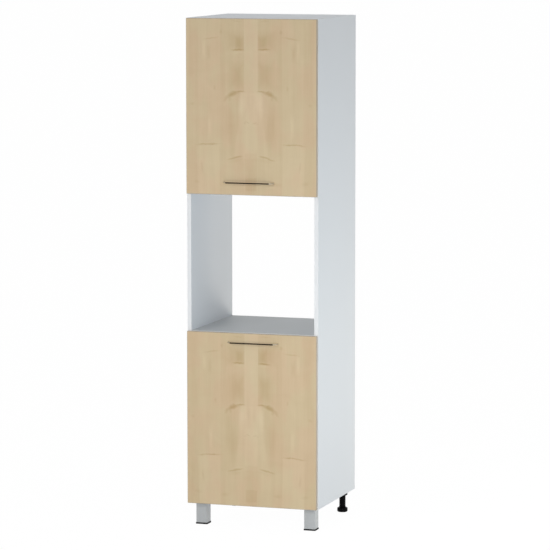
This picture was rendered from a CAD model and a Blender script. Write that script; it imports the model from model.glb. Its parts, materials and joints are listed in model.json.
"""Tall oven housing unit: the visible model around the fixed frame of solids.

Run as a script. Each operator makes one piece or one group of like pieces.
All lengths are in metres, in the frame of the solids: X to the right, +Y to the
back, Z up, the origin on the floor.
"""

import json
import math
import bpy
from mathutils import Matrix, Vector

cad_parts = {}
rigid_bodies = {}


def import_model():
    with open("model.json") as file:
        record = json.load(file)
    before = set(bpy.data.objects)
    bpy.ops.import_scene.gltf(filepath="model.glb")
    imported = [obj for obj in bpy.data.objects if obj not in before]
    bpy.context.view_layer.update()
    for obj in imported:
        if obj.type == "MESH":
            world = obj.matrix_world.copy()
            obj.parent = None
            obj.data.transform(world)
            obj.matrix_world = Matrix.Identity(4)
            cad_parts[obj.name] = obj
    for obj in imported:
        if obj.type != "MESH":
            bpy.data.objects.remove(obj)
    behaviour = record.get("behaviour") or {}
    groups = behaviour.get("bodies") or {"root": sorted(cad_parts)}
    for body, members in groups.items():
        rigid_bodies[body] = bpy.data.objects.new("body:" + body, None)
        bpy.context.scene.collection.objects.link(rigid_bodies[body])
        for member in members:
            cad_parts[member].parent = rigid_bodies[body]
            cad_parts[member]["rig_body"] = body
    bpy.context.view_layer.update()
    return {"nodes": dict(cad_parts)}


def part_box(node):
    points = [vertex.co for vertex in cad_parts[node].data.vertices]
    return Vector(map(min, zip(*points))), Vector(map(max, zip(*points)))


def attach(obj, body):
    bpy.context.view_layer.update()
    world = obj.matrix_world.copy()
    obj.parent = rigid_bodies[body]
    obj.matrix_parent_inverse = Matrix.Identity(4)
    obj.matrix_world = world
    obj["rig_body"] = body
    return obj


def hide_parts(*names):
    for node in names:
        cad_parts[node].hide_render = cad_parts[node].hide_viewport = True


bl_info = {
    "name": "Tall Oven Housing Unit",
    "version": (1, 0, 0),
    "blender": (4, 5, 0),
    "location": "View3D > Sidebar > Oven Unit",
    "description": "Boards, doors, handles, hinges and legs of a tall oven housing unit",
    "category": "Add Mesh",
}

import bpy
from bpy.props import FloatProperty, FloatVectorProperty, PointerProperty
from mathutils import Matrix, Vector

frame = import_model()
NODES = frame["nodes"]

MM = 0.001
SMOOTH_ANGLE = math.radians(35)
DOORS = ("upper", "lower")

# Planes of the carcass and the doors, read from the solids
FRONT_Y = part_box("carcass_edging")[0][1]
FACE_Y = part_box("upper_door_board")[0][1]
INNER_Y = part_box("upper_door_board")[1][1]
HINGE_X = -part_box("right_side_panel")[1][0]


def door_box(which):
    """Lowest and highest corner of a door with its edging."""
    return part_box(which + "_door_edging")


# ---------------------------------------------------------------- properties


class UnitColours(bpy.types.PropertyGroup):
    """Colours of the unit's finishes, in linear light."""

    board_white: FloatVectorProperty(
        name="Board white", description="White coating of the carcass boards",
        subtype="COLOR", size=3, default=(0.80, 0.83, 0.86), min=0, max=1)
    maple_light: FloatVectorProperty(
        name="Maple light", description="Palest planks of the door decor",
        subtype="COLOR", size=3, default=(0.765, 0.622, 0.423), min=0, max=1)
    maple_dark: FloatVectorProperty(
        name="Maple dark", description="Darkest planks and flecks of the door decor",
        subtype="COLOR", size=3, default=(0.50, 0.337, 0.160), min=0, max=1)
    edging_brown: FloatVectorProperty(
        name="Door edging", description="Narrow edges of the doors",
        subtype="COLOR", size=3, default=(0.50, 0.41, 0.30), min=0, max=1)
    aluminium: FloatVectorProperty(
        name="Aluminium", description="Front legs",
        subtype="COLOR", size=3, default=(0.478, 0.495, 0.503), min=0, max=1)
    dark_nickel: FloatVectorProperty(
        name="Dark nickel", description="Bars of the door handles",
        subtype="COLOR", size=3, default=(0.030, 0.020, 0.013), min=0, max=1)
    black: FloatVectorProperty(
        name="Black plastic", description="Rear legs, feet and plugs",
        subtype="COLOR", size=3, default=(0.0035, 0.0035, 0.0038), min=0, max=1)


class UnitSizes(bpy.types.PropertyGroup):
    """Sizes of the details that the visible model adds."""

    board_bevel: FloatProperty(
        name="Board bevel", description="Rounding of the adjustable shelves' edges",
        default=0.4 * MM, min=0.1 * MM, max=1 * MM, unit="LENGTH")
    metal_bevel: FloatProperty(
        name="Metal bevel", description="Rounding of the hinges' edges",
        default=0.35 * MM, min=0.1 * MM, max=1 * MM, unit="LENGTH")
    handle_radius: FloatProperty(
        name="Handle radius", description="Half the thickness of a handle's bar",
        default=3.0 * MM, min=2 * MM, max=5 * MM, unit="LENGTH")
    handle_pitch: FloatProperty(
        name="Handle pitch", description="Distance between the feet of a handle",
        default=224 * MM, min=96 * MM, max=320 * MM, unit="LENGTH")
    handle_run: FloatProperty(
        name="Handle end run", description="Length of a slanted handle end along the bar",
        default=13 * MM, min=5 * MM, max=20 * MM, unit="LENGTH")
    leg_corner: FloatProperty(
        name="Leg corner", description="Rounding of the corners of a front leg",
        default=1.6 * MM, min=0.5 * MM, max=4 * MM, unit="LENGTH")


class UnitStage(bpy.types.PropertyGroup):
    """Camera and light."""

    camera_place: FloatVectorProperty(
        name="Camera", description="Place of the camera", size=3, subtype="TRANSLATION",
        default=(4.5044, -13.59365, 2.7355))
    camera_turn: FloatVectorProperty(
        name="Camera turn", description="Pitch, roll and yaw of the camera", size=3,
        subtype="EULER",
        default=(math.radians(90 - 6.547), math.radians(0.035), math.radians(18.252)))
    lens: FloatProperty(
        name="Lens", description="Focal length on a 36 mm sensor", default=213.5,
        min=20, max=400, unit="CAMERA")
    ambient: FloatProperty(
        name="Ambient", description="Level of the light from all round", default=0.45,
        min=0, max=2)


# ------------------------------------------------------------- modelling help


def fresh(*chosen):
    """Leaves edit mode and selects only the chosen pieces, the first one active."""
    if bpy.context.object and bpy.context.object.mode != "OBJECT":
        bpy.ops.object.mode_set(mode="OBJECT")
    bpy.ops.object.select_all(action="DESELECT")
    for piece in chosen:
        piece.select_set(True)
    if chosen:
        bpy.context.view_layer.objects.active = chosen[0]


def placed(name, data):
    """A new object of the scene."""
    thing = bpy.data.objects.new(name, data)
    bpy.context.scene.collection.objects.link(thing)
    return thing


def settle(name):
    """Gives the new object its name and puts its place into its mesh."""
    piece = bpy.context.object
    piece.name = piece.data.name = name
    bpy.ops.object.transform_apply(location=True, rotation=True, scale=True)
    return piece


def pick(piece, want, kind="FACE"):
    """Goes into edit mode with only the faces, or edges, that want() accepts selected."""
    fresh(piece)
    bpy.ops.object.mode_set(mode="EDIT")
    bpy.ops.mesh.select_mode(type=kind)
    bpy.ops.mesh.select_all(action="DESELECT")
    bpy.ops.object.mode_set(mode="OBJECT")
    mesh = piece.data
    if kind == "FACE":
        for face in mesh.polygons:
            face.select = bool(want(face.center, face.normal))
    else:
        for edge in mesh.edges:
            a, b = (mesh.vertices[i].co for i in edge.vertices)
            edge.select = bool(want(a, b))
    bpy.ops.object.mode_set(mode="EDIT")


def pull(x=0.0, y=0.0, z=0.0):
    """Extrudes what is selected."""
    bpy.ops.mesh.extrude_region_move(TRANSFORM_OT_translate={"value": (x, y, z)})


def smooth():
    """Shades the active piece smooth up to the set angle."""
    bpy.ops.object.shade_smooth_by_angle(angle=SMOOTH_ANGLE)


def close_up(piece, shade=True):
    """Merges doubles, turns the faces outwards and leaves edit mode."""
    fresh(piece)
    bpy.ops.object.mode_set(mode="EDIT")
    bpy.ops.mesh.select_all(action="SELECT")
    bpy.ops.mesh.remove_doubles(threshold=0.01 * MM)
    bpy.ops.mesh.normals_make_consistent(inside=False)
    bpy.ops.object.mode_set(mode="OBJECT")
    if shade:
        smooth()


def block(name, low, high):
    """A box between two corners, ready to be shaped."""
    fresh()
    middle = [(a + b) / 2 for a, b in zip(low, high)]
    bpy.ops.mesh.primitive_cube_add(size=1, location=middle)
    bpy.context.object.scale = [b - a for a, b in zip(low, high)]
    return settle(name)


def bevel_now(piece, width, segments=3, angle=30):
    """Rounds the edges that are sharper than an angle in degrees."""
    fresh(piece)
    mod = piece.modifiers.new("Round", "BEVEL")
    mod.width = width
    mod.segments = segments
    mod.limit_method = "ANGLE"
    mod.angle_limit = math.radians(angle)
    bpy.ops.object.modifier_apply(modifier=mod.name)
    smooth()


def steps(start, *pairs):
    """Profile points from (distance from start, radius) pairs in millimetres."""
    return [(start + distance * MM, radius * MM) for distance, radius in pairs]


def turned(name, start, axis, profile, sides=48):
    """A filled disc, drawn out along axis through (distance, radius) pairs."""
    fresh()
    axis = Vector(axis).normalized()
    start = Vector(start)
    bpy.ops.mesh.primitive_circle_add(
        vertices=sides, radius=profile[0][1], fill_type="NGON",
        location=start + axis * profile[0][0],
        rotation=axis.to_track_quat("Z", "Y").to_euler())
    piece = settle(name)
    bpy.ops.object.mode_set(mode="EDIT")
    bpy.ops.mesh.select_mode(type="FACE")
    bpy.ops.mesh.select_all(action="SELECT")
    for (d0, r0), (d1, r1) in zip(profile, profile[1:]):
        pull(*(axis * (d1 - d0)))
        if r1 != r0:
            bpy.ops.transform.resize(
                value=(r1 / r0,) * 3, center_override=start + axis * d1)
    close_up(piece)
    return piece


def copied(piece, name, move):
    """A copy of a piece with its own mesh, moved by an offset or a matrix."""
    mesh = piece.data.copy()
    mesh.name = name
    mesh.transform(move if isinstance(move, Matrix) else Matrix.Translation(move))
    return placed(name, mesh)


def joined(name, pieces):
    """Joins pieces into the first one."""
    fresh(*pieces)
    bpy.ops.object.join()
    pieces[0].name = pieces[0].data.name = name
    return pieces[0]


def softened(node, width, segments=2):
    """A copy of a CAD node with merged faces and rounded edges."""
    piece = placed(node + "_finish", NODES[node].data.copy())
    fresh(piece)
    bpy.ops.object.mode_set(mode="EDIT")
    bpy.ops.mesh.select_all(action="SELECT")
    bpy.ops.mesh.remove_doubles(threshold=0.005 * MM)
    bpy.ops.mesh.dissolve_limited(angle_limit=math.radians(1))
    bpy.ops.object.mode_set(mode="OBJECT")
    bevel_now(piece, width, segments)
    return piece


def hand_in(piece, node, finish):
    """Gives a finished piece its material, its body and the node it stands for."""
    piece.data.materials.clear()
    piece.data.materials.append(MATERIALS[finish])
    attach(piece, NODES[node]["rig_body"])
    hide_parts(node)


def hand_in_like(piece, ending, nodes, finish):
    """Hands in a piece for the first of like nodes, and copies of it for the others."""
    low, high = (Vector(corner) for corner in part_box(nodes[0]))
    pieces = [piece]
    for node in nodes[1:]:
        at, end = (Vector(corner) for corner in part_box(node))
        if ((end - at) - (high - low)).length > 0.01 * MM:
            raise RuntimeError(f"{node} isn't of the same size as {nodes[0]}")
        pieces.append(copied(piece, node + ending, at - low))
    piece.name = piece.data.name = nodes[0] + ending
    for node, twin in zip(nodes, pieces):
        hand_in(twin, node, finish)


def dress(finish, *nodes):
    """Puts a finish on CAD nodes that keep their own shape."""
    for node in nodes:
        slots = NODES[node].data.materials
        if len(slots) == 0:
            slots.append(None)
        for i in range(len(slots)):
            slots[i] = MATERIALS[finish]


# -------------------------------------------------------------- material help


class Wires:
    """Adds nodes to a tree in a few words; the columns only keep the tree readable."""

    COLUMNS = 12
    SPACING = 180

    def __init__(self, tree):
        tree.nodes.clear()
        self.tree = tree
        self.count = 0

    def add(self, kind, **values):
        node = self.tree.nodes.new(kind)
        row, column = divmod(self.count, self.COLUMNS)
        node.location = (self.SPACING * column, -self.SPACING * row)
        self.count += 1
        for key, value in values.items():
            setattr(node, key, value)
        return node

    def join(self, source, socket):
        """Links a socket to another one, or sets its value."""
        if isinstance(source, bpy.types.NodeSocket):
            self.tree.links.new(source, socket)
        elif source is not None:
            socket.default_value = source

    def math(self, operation, a, b=None, c=None, clamp=False):
        node = self.add("ShaderNodeMath", operation=operation, use_clamp=clamp)
        for value, socket in zip((a, b, c), node.inputs):
            self.join(value, socket)
        return node.outputs[0]

    def step(self, value, low, high):
        """0 below low, 1 above high and smooth between; the ends may be swapped."""
        node = self.add("ShaderNodeMapRange", interpolation_type="SMOOTHSTEP")
        self.join(value, node.inputs["Value"])
        ends = sorted([(low, 0.0), (high, 1.0)])
        for label, (at, level) in zip(("Min", "Max"), ends):
            node.inputs["From " + label].default_value = at
            node.inputs["To " + label].default_value = level
        return node.outputs["Result"]

    def band(self, value, low, high, soft):
        """1 between low and high, with soft edges."""
        up = self.step(value, low - soft / 2, low + soft / 2)
        down = self.step(value, high + soft / 2, high - soft / 2)
        return self.math("MULTIPLY", up, down)

    def noise(self, vector, scale, detail=2.0, rough=0.5, distortion=0.0):
        node = self.add("ShaderNodeTexNoise", noise_dimensions="3D")
        for key, value in (("Vector", vector), ("Scale", scale), ("Detail", detail),
                           ("Roughness", rough), ("Distortion", distortion)):
            self.join(value, node.inputs[key])
        return node.outputs["Fac"]

    def stretch(self, vector, scale, place=(0, 0, 0)):
        node = self.add("ShaderNodeMapping", vector_type="POINT")
        self.join(vector, node.inputs["Vector"])
        node.inputs["Scale"].default_value = scale
        node.inputs["Location"].default_value = place
        return node.outputs["Vector"]

    def mix(self, fac, a, b, blend="MIX"):
        """A mix of two colours, each a socket or a value."""
        node = self.add("ShaderNodeMix", data_type="RGBA", blend_type=blend)
        self.join(fac, node.inputs[0])
        for value, socket in ((a, node.inputs[6]), (b, node.inputs[7])):
            link = isinstance(value, bpy.types.NodeSocket)
            self.join(value if link else (*value, 1.0), socket)
        return node.outputs[2]

    def seen(self):
        """1 for the camera's rays and for those that gloss and glass pass on."""
        rays = self.add("ShaderNodeLightPath").outputs
        seen = self.math("MAXIMUM", rays["Is Camera Ray"], rays["Is Glossy Ray"])
        return self.math("MAXIMUM", seen, rays["Is Transmission Ray"])

    def mix_out(self, share, a, b, kind):
        """Ends the tree with a mix of two shaders."""
        mixed = self.add("ShaderNodeMixShader")
        for source, socket in zip((share, a, b), mixed.inputs):
            self.join(source, socket)
        self.join(mixed.outputs[0], self.add(kind).inputs["Surface"])


NUMBER, COLOUR, VECTOR = "NodeSocketFloat", "NodeSocketColor", "NodeSocketVector"


def new_group(name, inputs):
    """A shader node group with named inputs and the three outputs all finishes share."""
    tree = bpy.data.node_groups.new(name, "ShaderNodeTree")
    for label, kind, value in inputs:
        socket = tree.interface.new_socket(name=label, in_out="INPUT", socket_type=kind)
        if value is not None:
            socket.default_value = value
    for label, kind in (("Colour", COLOUR), ("Roughness", NUMBER), ("Height", NUMBER)):
        tree.interface.new_socket(name=label, in_out="OUTPUT", socket_type=kind)
    wires = Wires(tree)
    return (tree, wires, wires.add("NodeGroupInput").outputs,
            wires.add("NodeGroupOutput").inputs)


def vary(w, given, out, shift, amount, height):
    """Ends a group: colour and roughness follow shift, and the bump follows height."""
    gain = w.math("ADD", w.math("MULTIPLY", shift, given[amount]), 1.0)
    scaled = w.add("ShaderNodeVectorMath", operation="SCALE")
    w.join(given["Colour"], scaled.inputs[0])
    w.join(gain, scaled.inputs["Scale"])
    w.join(scaled.outputs["Vector"], out["Colour"])
    rough = w.math("MULTIPLY_ADD", shift, given["Spread"], given["Roughness"])
    w.join(rough, out["Roughness"])
    w.join(height, out["Height"])


def mottle_group():
    """Slow clouds and a fine orange-peel texture, for coated boards and plastics."""
    tree, w, given, out = new_group(
        "Mottle", [("Vector", VECTOR, None), ("Colour", COLOUR, (0.8, 0.8, 0.8, 1)),
                   ("Cloud", NUMBER, 0.02), ("Cloud Scale", NUMBER, 6.0),
                   ("Peel Scale", NUMBER, 900.0), ("Roughness", NUMBER, 0.4),
                   ("Spread", NUMBER, 0.06)])
    clouds = w.noise(given["Vector"], given["Cloud Scale"], 3.0)
    peel = w.noise(given["Vector"], given["Peel Scale"], 2.0)
    vary(w, given, out, w.math("SUBTRACT", clouds, 0.5), "Cloud", peel)
    return tree


def brushed_group():
    """Fine scratches along one direction, set by the stretch of the vector."""
    tree, w, given, out = new_group(
        "Brushed", [("Vector", VECTOR, None), ("Colour", COLOUR, (0.6, 0.6, 0.6, 1)),
                    ("Streak", NUMBER, 0.12), ("Roughness", NUMBER, 0.35),
                    ("Spread", NUMBER, 0.15)])
    fine = w.noise(given["Vector"], 1.0, 4.0, 0.6)
    wide = w.noise(given["Vector"], 0.22)
    both = w.math("SUBTRACT", w.math("MULTIPLY_ADD", wide, 0.5, fine), 0.75)
    vary(w, given, out, both, "Streak", fine)
    return tree


# Marks of the maple decor: distance from the centre line and from the door's top,
# half width, half height (mm), tilt (degrees), strength (+ darker), softness of the rim.
# The decor is book-matched, so each mark stands on both halves of the door.
BLOCKS = (
    (74, 96, 46, 48, 0, 0.14, 0.85),
    (50, 103, 24, 32, 0, 0.17, 0.75),
    (68, 248, 42, 70, 0, 0.10, 0.70),
    (60, 240, 26, 52, 0, 0.09, 0.85),
    (0, 676, 30, 98, 0, 0.07, 0.10),
    (0, 718, 28, 30, 0, 0.10, 0.20),
    (194, 655, 52, 108, 2, -0.055, 0.05),
    (266, 640, 26, 130, 0, 0.03, 0.20),
    (88, 690, 53, 82, 0, -0.03, 0.12),
    (216, 132, 9, 40, 0, -0.11, 0.85),
    (192, 150, 11, 34, 0, 0.08, 0.85),
    (188, 470, 10, 58, 0, -0.10, 0.85),
    (128, 180, 14, 150, 0, 0.03, 0.30),
    (262, 180, 24, 170, 0, 0.04, 0.35),
)
PATCHES = (
    (58, 132, 33, 4.6, 2, 0.36, 0.85),
    (58, 143, 30, 7.0, 2, -0.07, 0.90),
    (184, 86, 40, 4.4, 7, 0.17, 0.92),
    (46, 315, 22, 4.2, 4, 0.32, 0.88),
    (66, 321, 18, 9.0, 14, 0.20, 0.92),
    (86, 326, 19, 13.0, 6, 0.36, 0.92),
    (78, 316, 12, 5.0, -24, 0.14, 0.92),
    (104, 336, 22, 9.5, 24, 0.20, 0.92),
    (97, 346, 9, 11.0, 10, 0.12, 0.92),
    (116, 350, 12, 7.0, 40, 0.12, 0.92),
    (92, 470, 28, 116, 4, 0.12, 0.88),
    (42, 372, 18, 62, -3, -0.12, 0.92),
    (10, 352, 11, 38, 0, 0.06, 0.92),
    (17, 449, 12, 4.2, -25, 0.15, 0.92),
    (28, 453, 6, 6.0, 0, 0.10, 0.92),
    (193, 542, 58, 3.1, 2, 0.30, 0.85),
    (172, 539, 12, 6.0, 0, 0.12, 0.92),
    (228, 546, 11, 5.5, 0, 0.11, 0.92),
    (60, 598, 25, 5.4, 8, 0.31, 0.90),
    (88, 606, 25, 4.4, 14, 0.24, 0.90),
    (74, 615, 36, 10.0, 10, 0.06, 0.92),
    (122, 714, 22, 11.0, 0, 0.11, 0.92),
    (246, 708, 20, 10.0, -8, 0.09, 0.92),
    (166, 300, 6, 12.0, 8, 0.11, 0.95),
    (270, 372, 12, 9.0, 0, 0.10, 0.95),
    (224, 640, 6, 30.0, 8, 0.11, 0.95),
    (138, 60, 9, 11.0, 0, 0.13, 0.95),
    (62, 12, 28, 4.4, 0, 0.11, 0.95),
)
MARK_GAIN = 1.3
# Tone of the ground, 0 light to 1 dark, and where and by how much the planks change it
GROUND_TONE = 0.30
PLANK_EDGES = ((31, 0.05), (142, -0.05), (238, 0.03))
# The pale bell in the middle of the door: from top to foot, the softness of its ends,
# its half width, which grows over two stretches of its height (mm), and its tone, which
# fades over a third one
BELL_TOP, BELL_FOOT, BELL_SOFT, BELL_HALF = 316, 604, 14, 44.0
BELL_FLARES = ((312, 345, 12.0), (430, 610, 24.0))
BELL_TONE, BELL_FADE = -0.12, (400, 600, 0.05)
# The calm strip from the top edge down to the bell: its half width, its end and its tone
STRIP_HALF, STRIP_END, STRIP_TONE = 31.0, 314, 0.235
# How far the rims of the marks wander, slowly and quickly (mm), and the shares of the
# pores, of the slow bands and of the flames in the grain
WANDER_SLOW, WANDER_QUICK = 18.0, 6.0
PORES, BANDS, FLAMES = 0.18, 0.24, 0.18
OLIVE_TINT = (0.985, 1.0, 0.965)
PEACH_TINT = (1.0, 0.965, 0.945)


def maple_group(colours):
    """The book-matched maple decor. Top is the height of the door's upper edge."""
    tree, w, given, out = new_group(
        "Maple Decor", [("Vector", VECTOR, None), ("Top", NUMBER, 2.231),
                        ("Light", COLOUR, (*colours.maple_light, 1)),
                        ("Dark", COLOUR, (*colours.maple_dark, 1))])
    vector = given["Vector"]
    split = w.add("ShaderNodeSeparateXYZ")
    w.join(vector, split.inputs[0])
    side = w.math("MULTIPLY", split.outputs["X"], 1 / MM)
    down = w.math("SUBTRACT", given["Top"], split.outputs["Z"])
    down = w.math("MULTIPLY", down, 1 / MM)
    # The rims of the marks wander a little, and not alike on the two halves
    slow = w.noise(w.stretch(vector, (14, 14, 9)), 1.0)
    quick = w.noise(w.stretch(vector, (90, 90, 60), (0.4, 0, 0.2)), 1.0, 2.0, 0.6)
    sway = w.math("MULTIPLY_ADD", w.math("SUBTRACT", slow, 0.5), WANDER_SLOW,
                  w.math("MULTIPLY", w.math("SUBTRACT", quick, 0.5), WANDER_QUICK))
    clean = w.math("ABSOLUTE", side)
    across = w.math("MULTIPLY_ADD", sway, 0.5, clean)
    along = w.math("ADD", down, sway)

    tone = GROUND_TONE
    for edge, rise in PLANK_EDGES:
        tone = w.math("MULTIPLY_ADD", w.step(clean, edge - 1.0, edge + 1.0), rise, tone)
    flank = BELL_HALF
    for start, end, rise in BELL_FLARES:
        flank = w.math("MULTIPLY_ADD", w.step(along, start, end), rise, flank)
    inside = w.step(w.math("SUBTRACT", across, flank), 7.0, -9.0)
    bell = w.math("MULTIPLY", inside, w.band(along, BELL_TOP, BELL_FOOT, BELL_SOFT))
    start, end, rise = BELL_FADE
    fade = w.math("MULTIPLY_ADD", w.step(along, start, end), rise, BELL_TONE)
    tone = w.math("MULTIPLY_ADD", bell, fade, tone)

    def mark(tone, row, round_rim):
        """The tone with one more mark on it."""
        u, v, half_u, half_v, tilt, strength, soft = row
        du = w.math("SUBTRACT", across, float(u))
        dv = w.math("SUBTRACT", along, float(v))
        if tilt:
            c, s = math.cos(math.radians(tilt)), math.sin(math.radians(tilt))
            turned_u = w.math("MULTIPLY_ADD", dv, s, w.math("MULTIPLY", du, c))
            turned_v = w.math("MULTIPLY_ADD", du, -s, w.math("MULTIPLY", dv, c))
            du, dv = turned_u, turned_v
        du = w.math("MULTIPLY", du, 1.0 / half_u)
        dv = w.math("MULTIPLY", dv, 1.0 / half_v)
        if round_rim:
            square = w.math("MULTIPLY_ADD", du, du, w.math("MULTIPLY", dv, dv))
            reach = w.math("SQRT", square)
        else:
            reach = w.math("MAXIMUM", w.math("ABSOLUTE", du), w.math("ABSOLUTE", dv))
        mask = w.step(reach, 1.0 + soft * 0.3, 1.0 - soft)
        return w.math("MULTIPLY_ADD", mask, strength * MARK_GAIN, tone)

    for row in BLOCKS:
        tone = mark(tone, row, False)
    for row in PATCHES:
        tone = mark(tone, row, True)
    strip = w.math("MULTIPLY", w.step(clean, STRIP_HALF + 1, STRIP_HALF - 1),
                   w.step(along, STRIP_END + 4, STRIP_END - 4))
    calm = w.add("ShaderNodeMix", data_type="FLOAT")
    for value, socket in zip((strip, tone, STRIP_TONE),
                             (calm.inputs[0], calm.inputs[2], calm.inputs[3])):
        w.join(value, socket)
    tone = calm.outputs[0]

    # Fine pores and slow bands run with the height
    pores = w.noise(w.stretch(vector, (420, 420, 7)), 1.0, 3.0, 0.65)
    bands = w.noise(w.stretch(vector, (40, 40, 1.6), (0.3, 0, 0.7)), 1.0, 3.0, 0.55, 0.4)
    flame = w.noise(w.stretch(vector, (9, 9, 14), (0.1, 0.4, 0.2)), 1.0, 2.0, 0.5, 0.8)
    grain = w.math("MULTIPLY_ADD", w.math("SUBTRACT", pores, 0.5), PORES,
                   w.math("MULTIPLY", w.math("SUBTRACT", bands, 0.5), BANDS))
    grain = w.math("MULTIPLY_ADD", w.math("SUBTRACT", flame, 0.5), FLAMES, grain)
    tone = w.math("ADD", tone, grain, clamp=True)
    wood = w.mix(tone, given["Light"], given["Dark"])
    # Planks and clouds lean a little to a warmer red or to olive
    hue = w.noise(w.stretch(vector, (11, 11, 6), (0.7, 0.2, 0.5)), 1.0, 2.0, 0.6)
    tint = w.mix(w.step(hue, 0.38, 0.62), OLIVE_TINT, PEACH_TINT)
    w.join(w.mix(1.0, wood, tint, "MULTIPLY"), out["Colour"])
    w.join(w.math("MULTIPLY_ADD", pores, 0.10, 0.36), out["Roughness"])
    w.join(pores, out["Height"])
    return tree


def new_material(name, group, settings, bump, surface, stretch=(1, 1, 1), depth=0.2 * MM):
    """A Principled material whose colour, roughness and bump come from a group."""
    material = bpy.data.materials.new(name)
    material.use_nodes = True
    w = Wires(material.node_tree)
    place = w.add("ShaderNodeTexCoord").outputs["Object"]
    pattern = w.add("ShaderNodeGroup", node_tree=group)
    w.join(w.stretch(place, stretch), pattern.inputs["Vector"])
    for key, value in settings.items():
        pattern.inputs[key].default_value = value
    shader = w.add("ShaderNodeBsdfPrincipled")
    for key, value in surface.items():
        shader.inputs[key].default_value = value
    raised = w.add("ShaderNodeBump")
    raised.inputs["Strength"].default_value = bump
    raised.inputs["Distance"].default_value = depth
    w.join(pattern.outputs["Height"], raised.inputs["Height"])
    w.join(pattern.outputs["Colour"], shader.inputs["Base Color"])
    w.join(pattern.outputs["Roughness"], shader.inputs["Roughness"])
    w.join(raised.outputs["Normal"], shader.inputs["Normal"])
    output = w.add("ShaderNodeOutputMaterial")
    w.join(shader.outputs["BSDF"], output.inputs["Surface"])
    return material


# Finish: name, colour (linear, or one of UnitColours), cloud, cloud scale, peel scale,
# roughness and its spread, bump, and values of the shader's own sockets
MOTTLED = {
    "white board": ("White Board", "board_white", 0.02, 3.0, 1400.0, 0.50, 0.05, 0.05,
                    {"Specular IOR Level": 0.25}),
    "oven shelf": ("Oven Shelf Board", (0.60, 0.615, 0.62), 0.05, 3.0, 1400.0, 0.50,
                   0.05, 0.06, {"Specular IOR Level": 0.25}),
    "white edging": ("White Edging", (0.90, 0.915, 0.93), 0.02, 3.0, 1400.0, 0.34, 0.05,
                     0.03, {}),
    "hardboard": ("Lacquered Fibreboard", (0.74, 0.745, 0.74), 0.08, 40.0, 700.0, 0.60,
                  0.12, 0.12, {}),
    "black plastic": ("Black Plastic", "black", 0.20, 60.0, 2600.0, 0.50, 0.10, 0.25,
                      {"Specular IOR Level": 0.06}),
    "nickel steel": ("Nickel Plated Steel", (0.60, 0.59, 0.57), 0.10, 50.0, 800.0, 0.28,
                     0.12, 0.04, {"Metallic": 0.95}),
    "zinc": ("Zinc Casting", (0.44, 0.44, 0.46), 0.20, 90.0, 900.0, 0.50, 0.20, 0.20,
             {"Metallic": 0.8}),
    "zinc steel": ("Zinc Plated Steel", (0.52, 0.53, 0.56), 0.15, 120.0, 1500.0, 0.34,
                   0.15, 0.08, {"Metallic": 0.9}),
    "white plastic": ("White Plastic", (0.80, 0.80, 0.78), 0.03, 60.0, 2200.0, 0.40,
                      0.08, 0.10, {}),
    "silicone": ("Silicone", (0.78, 0.80, 0.82), 0.05, 80.0, 1800.0, 0.55, 0.05, 0.10,
                 {"Transmission Weight": 0.35}),
}
# Finish: name, colour, streak, roughness and its spread, bump, values of the shader's
# own sockets, and the stretch that sets the direction of the scratches
SCRATCHED = {
    "door edging": ("Door Edging", "edging_brown", 0.50, 0.42, 0.10, 0.05, {},
                    (260, 260, 6)),
    "beech": ("Beech", (0.56, 0.36, 0.17), 0.60, 0.60, 0.20, 0.20, {}, (20, 500, 500)),
    "aluminium": ("Satin Aluminium", "aluminium", 0.10, 0.42, 0.12, 0.04,
                  {"Metallic": 0.35}, (900, 900, 14)),
    "dark nickel": ("Dark Nickel", "dark_nickel", 0.25, 0.42, 0.12, 0.03,
                    {"Metallic": 0.6, "Specular IOR Level": 0.3}, (30, 1400, 1400)),
    "brushed nickel": ("Brushed Nickel", (0.55, 0.49, 0.39), 0.20, 0.36, 0.12, 0.03,
                       {"Metallic": 0.8}, (900, 60, 900)),
}
MATERIALS = {}


def make_materials(colours):
    """Fills MATERIALS with the unit's finishes."""
    for table, group, keys in (
            (MOTTLED, mottle_group(), ("Colour", "Cloud", "Cloud Scale", "Peel Scale",
                                       "Roughness", "Spread")),
            (SCRATCHED, brushed_group(), ("Colour", "Streak", "Roughness", "Spread"))):
        for finish, (name, colour, *row) in table.items():
            rgb = getattr(colours, colour) if isinstance(colour, str) else colour
            settings = dict(zip(keys, ((*rgb, 1.0), *row)))
            MATERIALS[finish] = new_material(name, group, settings, *row[len(keys) - 1:])
    maple = maple_group(colours)
    for which in DOORS:
        MATERIALS[which + " maple"] = new_material(
            "Maple Decor " + which.title(), maple, {"Top": door_box(which)[1][2]}, 0.06,
            {}, depth=0.1 * MM)


# ------------------------------------------------------------------ operators


class UNIT_OT_finishes(bpy.types.Operator):
    """Makes the finishes of the unit"""

    bl_idname = "unit.finishes"
    bl_label = "Finishes"

    def execute(self, context):
        make_materials(context.scene.unit_colours)
        return {"FINISHED"}


class UNIT_OT_carcass(bpy.types.Operator):
    """Finishes the boards, edging and back panels, and rounds the adjustable shelves"""

    bl_idname = "unit.carcass"
    bl_label = "Carcass"

    def execute(self, context):
        dress("white board", "left_side_panel", "right_side_panel", "top_panel",
              "bottom_panel", "niche_top_panel")
        dress("oven shelf", "oven_shelf")
        dress("white edging", "carcass_edging")
        dress("hardboard", "upper_back_panel", "lower_back_panel")
        shelf = softened("upper_shelf", context.scene.unit_sizes.board_bevel)
        hand_in_like(shelf, "_board", ("upper_shelf", "lower_shelf"), "white board")
        return {"FINISHED"}


class UNIT_OT_doors(bpy.types.Operator):
    """Puts the maple decor on the door boards and finishes their edging"""

    bl_idname = "unit.doors"
    bl_label = "Doors"

    def execute(self, context):
        for which in DOORS:
            dress(which + " maple", which + "_door_board")
            dress("door edging", which + "_door_edging")
        return {"FINISHED"}


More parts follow.
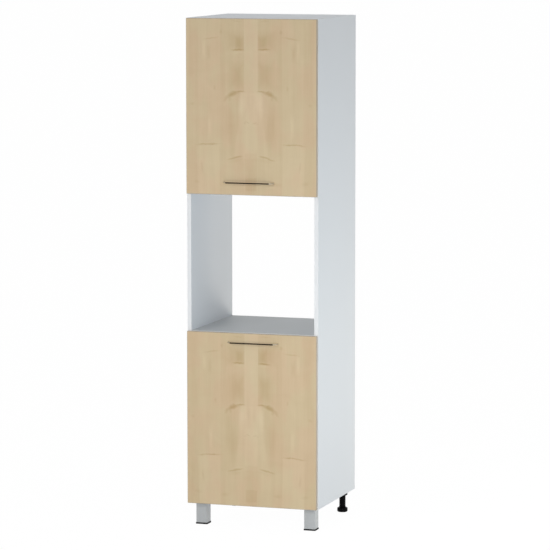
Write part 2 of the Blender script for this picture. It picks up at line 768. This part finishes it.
# A handle's end: how far before the door it stops slanting, how far before the door it
# stops inside its foot, the radii of its two bends, and by how much the dark bar is
# shorter than its straight part
NECK, ROOT, BENDS, SEAM = 6.5 * MM, 1 * MM, (9 * MM, 4 * MM), 1.5 * MM
HANDLE_FOOT = steps(0.0, (0.0, 4.2), (1.4, 4.2), (1.9, 3.9), (2.6, 3.5), (5.0, 3.25),
                    (7.0, 3.12), (7.6, 2.6))


class UNIT_OT_handles(bpy.types.Operator):
    """Bends a bow handle for each door"""

    bl_idname = "unit.handles"
    bl_label = "Handles"

    def execute(self, context):
        bar, ends = self.bend(context.scene.unit_sizes)
        handles = ("upper_handle", "lower_handle")
        hand_in_like(bar, "_bar", handles, "dark nickel")
        hand_in_like(ends, "_ends", handles, "brushed nickel")
        return {"FINISHED"}

    def bend(self, sizes):
        """The dark bar and the two lighter ends of one handle."""
        low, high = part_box("upper_handle")
        middle = Vector(((low[0] + high[0]) / 2, 0, (low[2] + high[2]) / 2))
        half, run, radius = sizes.handle_pitch / 2, sizes.handle_run, sizes.handle_radius
        bar_y = low[1] + radius
        corners = [(-half + run, bar_y), (half - run, bar_y), (half, FACE_Y - NECK),
                   (half, FACE_Y - ROOT)]
        points = rounded_path([Vector((x, y, 0)) + middle for x, y in corners], BENDS)
        seam = half - run - SEAM
        outer = [p for p in points if p.x > middle.x + seam]
        inner = [p for p in points if middle.x < p.x <= middle.x + seam] + outer[:1]
        mirror = (Matrix.Translation(middle) @ Matrix.Scale(-1, 4, (1, 0, 0))
                  @ Matrix.Translation(-middle))
        bar = rod("bar", [mirror @ p for p in reversed(inner)] + inner, radius)
        foot = turned("foot", middle + Vector((half, FACE_Y, 0)), (0, -1, 0),
                      HANDLE_FOOT, 40)
        end = joined("end", [rod("neck", outer, radius), foot])
        other = copied(end, "other", mirror)
        close_up(other)
        return bar, joined("ends", [end, other])


def rod(name, points, radius):
    """A round rod along a line of points."""
    fresh()
    bpy.ops.curve.primitive_nurbs_path_add(location=(0, 0, 0))
    curve = bpy.context.object.data
    curve.splines.clear()
    spline = curve.splines.new("POLY")
    spline.points.add(len(points) - 1)
    for point, place in zip(spline.points, points):
        point.co = (*place, 1)
    curve.dimensions = "3D"
    curve.bevel_depth = radius
    curve.bevel_resolution = 8
    curve.use_fill_caps = True
    bpy.ops.object.convert(target="MESH")
    bar = settle(name)
    close_up(bar)
    return bar


def rounded_path(corners, radii, chords=8):
    """Points along a line of corners, each inner corner drawn as an arc-like curve."""
    points = [corners[0]]
    for before, here, after, radius in zip(corners, corners[1:], corners[2:], radii):
        a = here + (before - here).normalized() * radius
        b = here + (after - here).normalized() * radius
        for i in range(chords + 1):
            t = i / chords
            points.append((1 - t) ** 2 * a + 2 * t * (1 - t) * here + t ** 2 * b)
    points.append(corners[-1])
    return points


class UNIT_OT_front_legs(bpy.types.Operator):
    """Shapes the square aluminium front legs and their black levelling feet"""

    bl_idname = "unit.front_legs"
    bl_label = "Front Legs"

    # The tube: thickness of its walls and of its closed top
    WALL, LID = 2 * MM, 3.2 * MM
    # The cap: its height, rounded corners, the step on its top, the rim and the depth of
    # the hollow in its sole, and the rounding asked for, of which the bevel leaves little
    CAP_HIGH, CAP_CORNER, CAP_STEP = 6 * MM, 3 * MM, 1.2 * MM
    SOLE_RIM, SOLE_DEEP, CAP_BEVEL = 3 * MM, 0.8 * MM, 0.6 * MM
    # The stem: its thread above the cap, and its radii on the crests, in the grooves and
    # at the tip
    THREAD_PITCH, THREAD_TURNS, THREAD_END = 1.25 * MM, 14, 20 * MM
    CREST, GROOVE, STEM_TIP = 4.0 * MM, 3.45 * MM, 3.2 * MM

    def execute(self, context):
        corner = context.scene.unit_sizes.leg_corner
        hand_in_like(self.tube(corner), "_tube", ("front_left_leg", "front_right_leg"),
                     "aluminium")
        hand_in_like(self.foot(), "_cap", ("front_left_foot", "front_right_foot"),
                     "black plastic")
        dress("zinc steel", "front_leg_plates")
        dress("black plastic", "front_leg_plugs")
        return {"FINISHED"}

    def tube(self, corner):
        """A square tube that is open at its lower end."""
        low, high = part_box("front_left_leg")
        tube = block("tube", low, high)
        pick(tube, lambda a, b: abs(a.z - b.z) > 50 * MM, "EDGE")
        bpy.ops.mesh.bevel(offset=corner, segments=5, affect="EDGES")
        pick(tube, lambda c, n: n.z < -0.9)
        bpy.ops.mesh.inset(thickness=self.WALL)
        pull(z=high[2] - low[2] - self.LID)
        close_up(tube)
        return tube

    def foot(self):
        """A flat square cap, and the threaded stem that carries it."""
        low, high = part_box("front_left_foot")
        top = self.CAP_HIGH
        cap = block("cap", low, (high[0], high[1], top))
        pick(cap, lambda a, b: abs(a.z - b.z) > 3 * MM, "EDGE")
        bpy.ops.mesh.bevel(offset=self.CAP_CORNER, segments=5, affect="EDGES")
        pick(cap, lambda c, n: n.z > 0.9)
        bpy.ops.mesh.inset(thickness=self.CAP_STEP)
        pick(cap, lambda c, n: n.z < -0.9)
        bpy.ops.mesh.inset(thickness=self.SOLE_RIM)
        pull(z=self.SOLE_DEEP)
        close_up(cap)
        bevel_now(cap, self.CAP_BEVEL, angle=50)
        middle = ((low[0] + high[0]) / 2, (low[1] + high[1]) / 2, 0)
        profile = [(top - 0.5 * MM, self.CREST)]
        for k in range(self.THREAD_TURNS):
            z = top + 0.6 * MM + k * self.THREAD_PITCH
            profile += [(z, self.CREST), (z + self.THREAD_PITCH * 0.5, self.GROOVE)]
        profile += [(top + self.THREAD_END, self.CREST), (high[2] - 1 * MM, self.CREST),
                    (high[2], self.STEM_TIP)]
        return joined("foot", [cap, turned("stem", middle, (0, 0, 1), profile, 32)])


class UNIT_OT_rear_legs(bpy.types.Operator):
    """Turns the round black rear legs and their feet"""

    bl_idname = "unit.rear_legs"
    bl_label = "Rear Legs"

    # Profiles from the leg's lower end, from its upper end, of the foot's base from the
    # floor, and of the foot's stem from its upper end
    LEG_LOW = ((0.4, 9), (0, 9.4), (0, 14.6), (0.6, 15), (5, 15), (5.8, 14))
    LEG_HIGH = ((-12, 14), (-6, 14.5), (-4.2, 15.6), (-3.9, 24.4), (-3.4, 25), (0, 25))
    BASE = ((0.6, 15), (0.6, 16), (0, 16.6), (0, 17.4), (0.5, 19.4), (1.6, 21.6),
            (3.2, 23), (5, 23.5), (16, 23.5), (18, 22.9), (19.3, 21.6), (20, 19.6),
            (20, 11), (20, 8.9))
    STEM = ((-1, 8.9), (0, 8))
    # A rib: from and to which distance from the axis, half its thickness, its lower and
    # upper end below the leg's top, how far its outer edge is pulled up, and its angles
    RIB_IN, RIB_OUT, RIB_HALF = 13.0 * MM, 23.0 * MM, 2.0 * MM
    RIB_LOW, RIB_HIGH, RIB_SLANT = 29 * MM, 3.6 * MM, 6 * MM
    RIB_ANGLES, RIB_BEVEL = (30, 150, 270), 0.7 * MM
    # The notches in the base's rim: how often, their margin and their depth
    BASE_SIDES, NOTCH_EVERY, NOTCH_RIM, NOTCH_DEEP = 72, 6, 0.35 * MM, 0.5 * MM

    def execute(self, context):
        low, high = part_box("rear_left_leg")
        middle = Vector(((low[0] + high[0]) / 2, (low[1] + high[1]) / 2, 0))
        hand_in_like(self.leg(middle, low[2], high[2]), "_moulding",
                     ("rear_left_leg", "rear_right_leg"), "black plastic")
        hand_in_like(self.foot(middle), "_base", ("rear_left_foot", "rear_right_foot"),
                     "black plastic")
        return {"FINISHED"}

    def leg(self, middle, low, high):
        """A tube with a flange, and three ribs that carry the flange."""
        tube = turned("tube", middle, (0, 0, 1), steps(high, (-4, 9))
                      + steps(low, *self.LEG_LOW) + steps(high, *self.LEG_HIGH), 64)
        rib = block("rib", (self.RIB_IN, -self.RIB_HALF, high - self.RIB_LOW),
                    (self.RIB_OUT, self.RIB_HALF, high - self.RIB_HIGH))
        # The outer lower edge is pulled up, so the lower side slants to the tube
        pick(rib, lambda a, b: min(a.x, b.x) > 20 * MM
             and max(a.z, b.z) < high - 10 * MM, "EDGE")
        bpy.ops.transform.translate(value=(0, 0, self.RIB_SLANT))
        close_up(rib, shade=False)
        bevel_now(rib, self.RIB_BEVEL)
        ribs = [copied(rib, "rib", Matrix.Translation(middle)
                       @ Matrix.Rotation(math.radians(angle), 4, "Z"))
                for angle in self.RIB_ANGLES]
        bpy.data.objects.remove(rib)
        return joined("leg", [tube] + ribs)

    def foot(self, middle):
        """A round base with a notched rim, and the stem that slides in the leg."""
        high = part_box("rear_left_foot")[1][2]
        base = turned("base", middle, (0, 0, 1),
                      steps(0.0, *self.BASE) + steps(high, *self.STEM), self.BASE_SIDES)
        side = 360 / self.BASE_SIDES
        pick(base, lambda c, n: 6 * MM < c.z < 14 * MM and abs(n.z) < 0.1 and
             round(math.degrees(math.atan2(n.y, n.x)) / side) % self.NOTCH_EVERY == 0)
        bpy.ops.mesh.inset(thickness=self.NOTCH_RIM)
        bpy.ops.mesh.extrude_region_shrink_fatten(
            TRANSFORM_OT_shrink_fatten={"value": -self.NOTCH_DEEP})
        close_up(base)
        return base


class UNIT_OT_hinges(bpy.types.Operator):
    """Rounds the cups, arms and plates of the hinges"""

    bl_idname = "unit.hinges"
    bl_label = "Hinges"

    def execute(self, context):
        bevel = context.scene.unit_sizes.metal_bevel
        for part in ("hinge_cups", "hinge_arms", "hinge_plates"):
            nodes = [f"{which}_{part}" for which in DOORS]
            hand_in_like(softened(nodes[0], bevel), "_finish", nodes, "nickel steel")
        dress("zinc steel", *(which + "_hinge_pins" for which in DOORS))
        return {"FINISHED"}


class UNIT_OT_screws(bpy.types.Operator):
    """Makes the cross-headed screws of hinges and handles, and finishes the legs' ones"""

    bl_idname = "unit.screws"
    bl_label = "Screws"

    BOARD = 18 * MM
    HINGE_END = 95 * MM
    # Places of the screws: on the board and behind the front for plates and arms, from
    # the hinged side and above the inner face for cups, and the distances to their middle
    PLATE_UP, PLATE_BACK, PLATE_HALF = 3 * MM, 37 * MM, 16 * MM
    ARM_UP, ARM_BACK = 15 * MM, 53 * MM
    CUP_IN, CUP_UP, CUP_HALF = 33 * MM, 1.2 * MM, 22.5 * MM
    # Axis, and radius of the head, of the shank, length and height of the head
    PLATE_SCREW = ((1, 0, 0), 3.4 * MM, 2.5 * MM, 13 * MM, 1.6 * MM)
    ARM_SCREW = ((1, 0, 0), 4.0 * MM, 2.0 * MM, 13 * MM, 1.6 * MM)
    CUP_SCREW = ((0, 1, 0), 3.4 * MM, 1.8 * MM, 12 * MM, 1.6 * MM)
    HANDLE_SCREW = ((0, 1, 0), 4.2 * MM, 2.0 * MM, 23 * MM, 2.2 * MM)

    def execute(self, context):
        board = HINGE_X + self.BOARD
        heights = {which: self.hinge_heights(which) for which in DOORS}
        hinges = [z for which in DOORS for z in heights[which]]
        self.copies({"hinge_plate_screws": [
            (board + self.PLATE_UP, FRONT_Y + self.PLATE_BACK, z + k * self.PLATE_HALF)
            for z in hinges for k in (-1, 1)]}, self.PLATE_SCREW)
        self.copies({"hinge_arm_screws": [
            (board + self.ARM_UP, FRONT_Y + self.ARM_BACK, z) for z in hinges]},
            self.ARM_SCREW)
        self.copies({which + "_cup_screws": [
            (HINGE_X + self.CUP_IN, INNER_Y + self.CUP_UP, z + k * self.CUP_HALF)
            for z in heights[which] for k in (-1, 1)] for which in DOORS},
            self.CUP_SCREW)
        seats = {}
        for which in DOORS:
            node = which + "_handle_screws"
            low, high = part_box(node)
            height, head = (low[2] + high[2]) / 2, self.HANDLE_SCREW[1]
            seats[node] = [(x, INNER_Y, height) for x in (low[0] + head, high[0] - head)]
        self.copies(seats, self.HANDLE_SCREW)
        dress("zinc steel", "leg_screws")
        return {"FINISHED"}

    def hinge_heights(self, which):
        """Heights of the two hinges of a door."""
        low, high = door_box(which)
        return (low[2] + self.HINGE_END, high[2] - self.HINGE_END)

    def copies(self, seats, shape):
        """Models one screw, and puts a copy of it on each seat of each node."""
        model = screw(*shape)
        for node, places in seats.items():
            twins = [copied(model, "screw", Vector(place)) for place in places]
            hand_in(joined(node[:-1] + "_set", twins), node, "zinc steel")
        bpy.data.objects.remove(model)


def screw(axis, head_r, shank_r, length, head_h):
    """A cross-headed screw, with the underside of its head at the origin."""
    axis = Vector(axis)
    # The shank from its tip on, then the rounded head
    piece = turned("screw", (0, 0, 0), axis, (
        (-length, shank_r * 0.35), (-length + 2 * MM, shank_r), (0.0, shank_r),
        (0.0, head_r), (head_h * 0.35, head_r), (head_h * 0.75, head_r * 0.86),
        (head_h, head_r * 0.6)), 28)
    # The cross is cut by two bars
    wide, thin, deep = head_r * 1.05, head_r * 0.22, head_h * 1.3
    for spans in ([wide, thin], [thin, wide]):
        fresh()
        bpy.ops.mesh.primitive_cube_add(size=1, location=axis * head_h)
        bpy.context.object.scale = [spans.pop() if abs(c) < 0.5 else deep for c in axis]
        cutter = settle("cutter")
        fresh(piece)
        cut = piece.modifiers.new("Cross", "BOOLEAN")
        cut.operation = "DIFFERENCE"
        cut.solver = "EXACT"
        cut.object = cutter
        bpy.ops.object.modifier_apply(modifier=cut.name)
        bpy.data.objects.remove(cutter)
    smooth()
    return piece


class UNIT_OT_fittings(bpy.types.Operator):
    """Finishes the cams, bolts, dowels, cover caps, shelf pins and bumpers"""

    bl_idname = "unit.fittings"
    bl_label = "Fittings"

    COVER_BEVEL, PIN_BEVEL, BUMPER_BEVEL = 0.35 * MM, 0.5 * MM, 0.4 * MM

    def execute(self, context):
        dress("zinc", "cam_locks")
        dress("zinc steel", "cam_bolts")
        dress("beech", "wooden_dowels")
        hand_in(softened("cam_covers", self.COVER_BEVEL), "cam_covers", "white plastic")
        hand_in(softened("shelf_pins", self.PIN_BEVEL), "shelf_pins", "nickel steel")
        bumpers = [which + "_door_bumpers" for which in DOORS]
        hand_in_like(softened(bumpers[0], self.BUMPER_BEVEL, 3), "_finish", bumpers,
                     "silicone")
        return {"FINISHED"}


# Name, place, point aimed at, size, power and colour of the soft lamps
LAMPS = (
    ("Side Softbox", (1.9, -0.6, 1.05), (0.3, 0.0, 1.05), (1.2, 0.6), 5.2,
     (0.74, 0.90, 1.0)),
    ("Front Softbox", (0.9, -2.8, 0.75), (0.0, -0.3, 0.9), (1.6, 0.5), 16.6,
     (1.0, 1.0, 0.99)),
    ("Key", (-5.2, -10.0, 5.0), (0.0, -0.25, 1.1), (0.8, 0.8), 225.0, (1.0, 1.0, 1.0)),
    ("Rear Softbox", (2.0, 1.5, 0.28), (-0.28, 0.1, 1.3), (0.8, 0.55), 13.5,
     (1.0, 0.94, 0.84)),
)


class UNIT_OT_stage(bpy.types.Operator):
    """Sets the floor, the light and the camera"""

    bl_idname = "unit.stage"
    bl_label = "Stage"

    # The floor: its span, how far below the feet it lies, its paint, the white that the
    # camera sees in its place and how much of that, so that some shadow is left
    SPAN, BELOW, PAINT = 2000, 0.4 * MM, (0.85, 0.85, 0.85, 1)
    GLOW, GLOW_SHARE = 1.02, 0.96
    SKY = (0.97, 0.985, 1.0, 1)
    WHITE = (1, 1, 1, 1)

    def execute(self, context):
        stage = context.scene.unit_stage
        self.floor()
        self.world(stage.ambient)
        for row in LAMPS:
            self.lamp(*row)
        self.camera(stage)
        context.scene.view_settings.view_transform = "Standard"
        return {"FINISHED"}

    def floor(self):
        fresh()
        bpy.ops.mesh.primitive_plane_add(size=self.SPAN, location=(0, 0, -self.BELOW))
        floor = settle("floor")
        material = bpy.data.materials.new("Floor")
        material.use_nodes = True
        w = Wires(material.node_tree)
        paint = w.add("ShaderNodeBsdfDiffuse")
        paint.inputs["Color"].default_value = self.PAINT
        glow = w.add("ShaderNodeEmission")
        glow.inputs["Color"].default_value = self.WHITE
        glow.inputs["Strength"].default_value = self.GLOW
        w.mix_out(w.math("MULTIPLY", w.seen(), self.GLOW_SHARE), paint.outputs[0],
                  glow.outputs[0], "ShaderNodeOutputMaterial")
        floor.data.materials.append(material)

    def world(self, level):
        world = bpy.data.worlds.new("Studio")
        bpy.context.scene.world = world
        world.use_nodes = True
        w = Wires(world.node_tree)
        skies = []
        for colour, strength in ((self.SKY, level), (self.WHITE, 1.0)):
            sky = w.add("ShaderNodeBackground")
            sky.inputs["Color"].default_value = colour
            sky.inputs["Strength"].default_value = strength
            skies.append(sky.outputs[0])
        w.mix_out(w.seen(), *skies, "ShaderNodeOutputWorld")

    def lamp(self, name, place, aim, size, watts, colour):
        data = bpy.data.lights.new(name, "AREA")
        data.shape = "RECTANGLE"
        data.size, data.size_y = size
        data.energy = watts
        data.color = colour
        lamp = placed(name, data)
        lamp.location = place
        turn = (Vector(aim) - Vector(place)).to_track_quat("-Z", "Y")
        lamp.rotation_euler = turn.to_euler()
        lamp.visible_camera = False

    def camera(self, stage):
        data = bpy.data.cameras.new("Camera")
        data.lens = stage.lens
        data.sensor_width = 36.0
        data.clip_end = 200.0
        camera = placed("Camera", data)
        camera.location = stage.camera_place
        camera.rotation_euler = stage.camera_turn
        bpy.context.scene.camera = camera


class UNIT_PT_panel(bpy.types.Panel):
    """Lists the steps that build the unit"""

    bl_label = "Tall Oven Unit"
    bl_idname = "UNIT_PT_panel"
    bl_space_type = "VIEW_3D"
    bl_region_type = "UI"
    bl_category = "Oven Unit"

    def draw(self, context):
        for operator in STEPS:
            self.layout.operator(operator.bl_idname)
        for name in GROUPS:
            group = getattr(context.scene, name)
            box = self.layout.box()
            for key in group.__annotations__:
                box.prop(group, key)


STEPS = (UNIT_OT_finishes, UNIT_OT_carcass, UNIT_OT_doors, UNIT_OT_handles,
         UNIT_OT_front_legs, UNIT_OT_rear_legs, UNIT_OT_hinges, UNIT_OT_screws,
         UNIT_OT_fittings, UNIT_OT_stage)
GROUPS = {"unit_colours": UnitColours, "unit_sizes": UnitSizes, "unit_stage": UnitStage}
CLASSES = (*GROUPS.values(), *STEPS, UNIT_PT_panel)


def register():
    for cls in CLASSES:
        bpy.utils.register_class(cls)
    for name, group in GROUPS.items():
        setattr(bpy.types.Scene, name, PointerProperty(type=group))


def unregister():
    for name in GROUPS:
        delattr(bpy.types.Scene, name)
    for cls in reversed(CLASSES):
        bpy.utils.unregister_class(cls)


def main():
    """Builds the unit step by step."""
    register()
    for step in STEPS:
        area, name = step.bl_idname.split(".")
        getattr(getattr(bpy.ops, area), name)()
    fresh()


if __name__ == "__main__":
    main()
